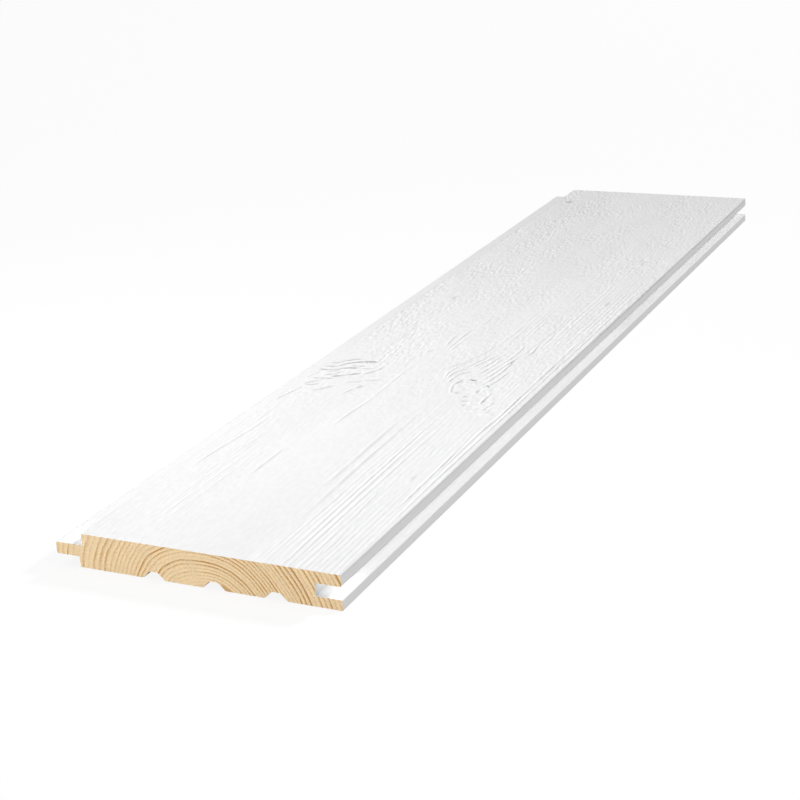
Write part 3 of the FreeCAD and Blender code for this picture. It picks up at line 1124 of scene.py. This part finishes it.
# %% Floor and background
FLOOR_HALF = 6.0  # metres
FLOOR_DROP = 0.0002  # below the back of the board
FLOOR_OWN_WHITE = 0.90  # share of what the camera sees of the floor
FLOOR_DULL = (0.25, 0.25, 0.25, 1.0)
WHITE = (1.0, 1.0, 1.0, 1.0)
SKY_LEVEL = 0.10


def seen_directly(tree):
    """1 for rays from the camera, a mirror or a pane, and 0 for the light that falls on things."""
    path = tree.nodes.new("ShaderNodeLightPath")
    total = path.outputs["Is Camera Ray"]
    for name in ("Is Glossy Ray", "Is Transmission Ray"):
        either = tree.nodes.new("ShaderNodeMath")
        either.operation = "MAXIMUM"
        tree.links.new(total, either.inputs[0])
        tree.links.new(path.outputs[name], either.inputs[1])
        total = either.outputs[0]
    return total


def studio_floor():
    """A large square just under the board, and its white."""
    finish = Finish("studio_floor")
    seen = seen_directly(finish.tree)
    lit = finish.node("ShaderNodeBsdfDiffuse", Color=finish.blend(seen, FLOOR_DULL, WHITE))
    own = finish.node("ShaderNodeEmission", Color=WHITE, Strength=1.0)
    share = finish.math("MULTIPLY", seen, FLOOR_OWN_WHITE)
    mixed = finish.tree.nodes.new("ShaderNodeMixShader")
    for socket, value in zip(mixed.inputs, (share, lit.outputs[0], own.outputs[0])):
        finish.feed(socket, value)
    finish.node("ShaderNodeOutputMaterial", Surface=mixed.outputs[0])
    corners = ((-1, -1), (1, -1), (1, 1), (-1, 1))
    places = [(x * FLOOR_HALF, y * FLOOR_HALF, -FLOOR_DROP) for x, y in corners]
    mesh = bpy.data.meshes.new("studio_floor")
    mesh.from_pydata(places, [], [(0, 1, 2, 3)])
    mesh.materials.append(finish.material)
    floor = bpy.data.objects.new("studio_floor", mesh)
    bpy.context.scene.collection.objects.link(floor)
    return floor


def studio_sky():
    """An even soft light from all round, seen as plain white."""
    world = bpy.data.worlds.new("studio_sky")
    world.use_nodes = True
    tree = world.node_tree
    background = tree.nodes["Background"]
    background.inputs["Color"].default_value = WHITE
    level = tree.nodes.new("ShaderNodeMapRange")
    tree.links.new(seen_directly(tree), level.inputs["Value"])
    level.inputs["To Min"].default_value = SKY_LEVEL
    level.inputs["To Max"].default_value = 1.0
    tree.links.new(level.outputs[0], background.inputs["Strength"])
    bpy.context.scene.world = world


studio_floor()
studio_sky()
print("floor", 2 * FLOOR_HALF, "m wide, sky level", SKY_LEVEL)

# %% [markdown]
# Relief only shows in light that rakes over it. The main lamp is a soft window behind the far end
# on the groove side: it rakes over the face, and it is low enough to shine into the groove. Two
# small lamps stand beside the near half, one on each side, so the face is brightest there and
# falls off along its length. A low strip in front lights the sawn end. Three faint strips are
# tucked under the lip of the groove and shine down on its ledge: one at the mouth, where the other
# lamps hardly reach, and two from the near end, over about a third and over more than half of the
# board. One more small lamp lights the near end of the tongue's root, a corner that would be dark.

# %% Lamps
LAMPS = (  # name, place, aimed at, width and height in metres, power in watts
    ("window_lamp", (4.20, 4.90, 4.10), (0.0, 0.0, 0.0), 1.2, 1.2, 625.0),
    ("tongue_side_lamp", (-0.20, -0.19, 0.33), (-0.10, -0.19, 0.0), 0.3, 0.3, 0.64),
    ("groove_side_lamp", (0.42, -0.25, 0.36), (0.06, -0.20, 0.0), 0.3, 0.3, 0.70),
    ("end_lamp", (-0.15, -1.00, 0.008), (0.0, -0.26, 0.008), 0.5, 0.012, 5.15),
    ("tongue_root_lamp", (-0.0505, -0.2565, 0.0130), (-0.0505, -0.2565, 0.0), 0.005, 0.012, 0.00018),
    ("mouth_lamp", (0.0545, -0.2545, 0.0091), (0.0545, -0.2545, 0.0), 0.008, 0.016, 0.00045),
    ("near_ledge_lamp", (0.055, -0.1725, 0.0091), (0.055, -0.1725, 0.0), 0.009, 0.18, 0.0005),
    ("long_ledge_lamp", (0.055, -0.1125, 0.0091), (0.055, -0.1125, 0.0), 0.009, 0.30, 0.0006),
)


def soft_lamp(name, place, aim, width, height, power):
    """A lamp with an even oblong surface of that size, turned from its place to what it lights."""
    data = bpy.data.lights.new(name, "AREA")
    data.shape = "RECTANGLE"
    data.size = width
    data.size_y = height
    data.energy = power
    lamp = bpy.data.objects.new(name, data)
    lamp.location = place
    lamp.rotation_euler = (Vector(aim) - Vector(place)).to_track_quat("-Z", "Y").to_euler()
    lamp.visible_camera = False
    bpy.context.scene.collection.objects.link(lamp)


for lamp_values in LAMPS:
    soft_lamp(*lamp_values)
print("lamps:", [values[0] for values in LAMPS])
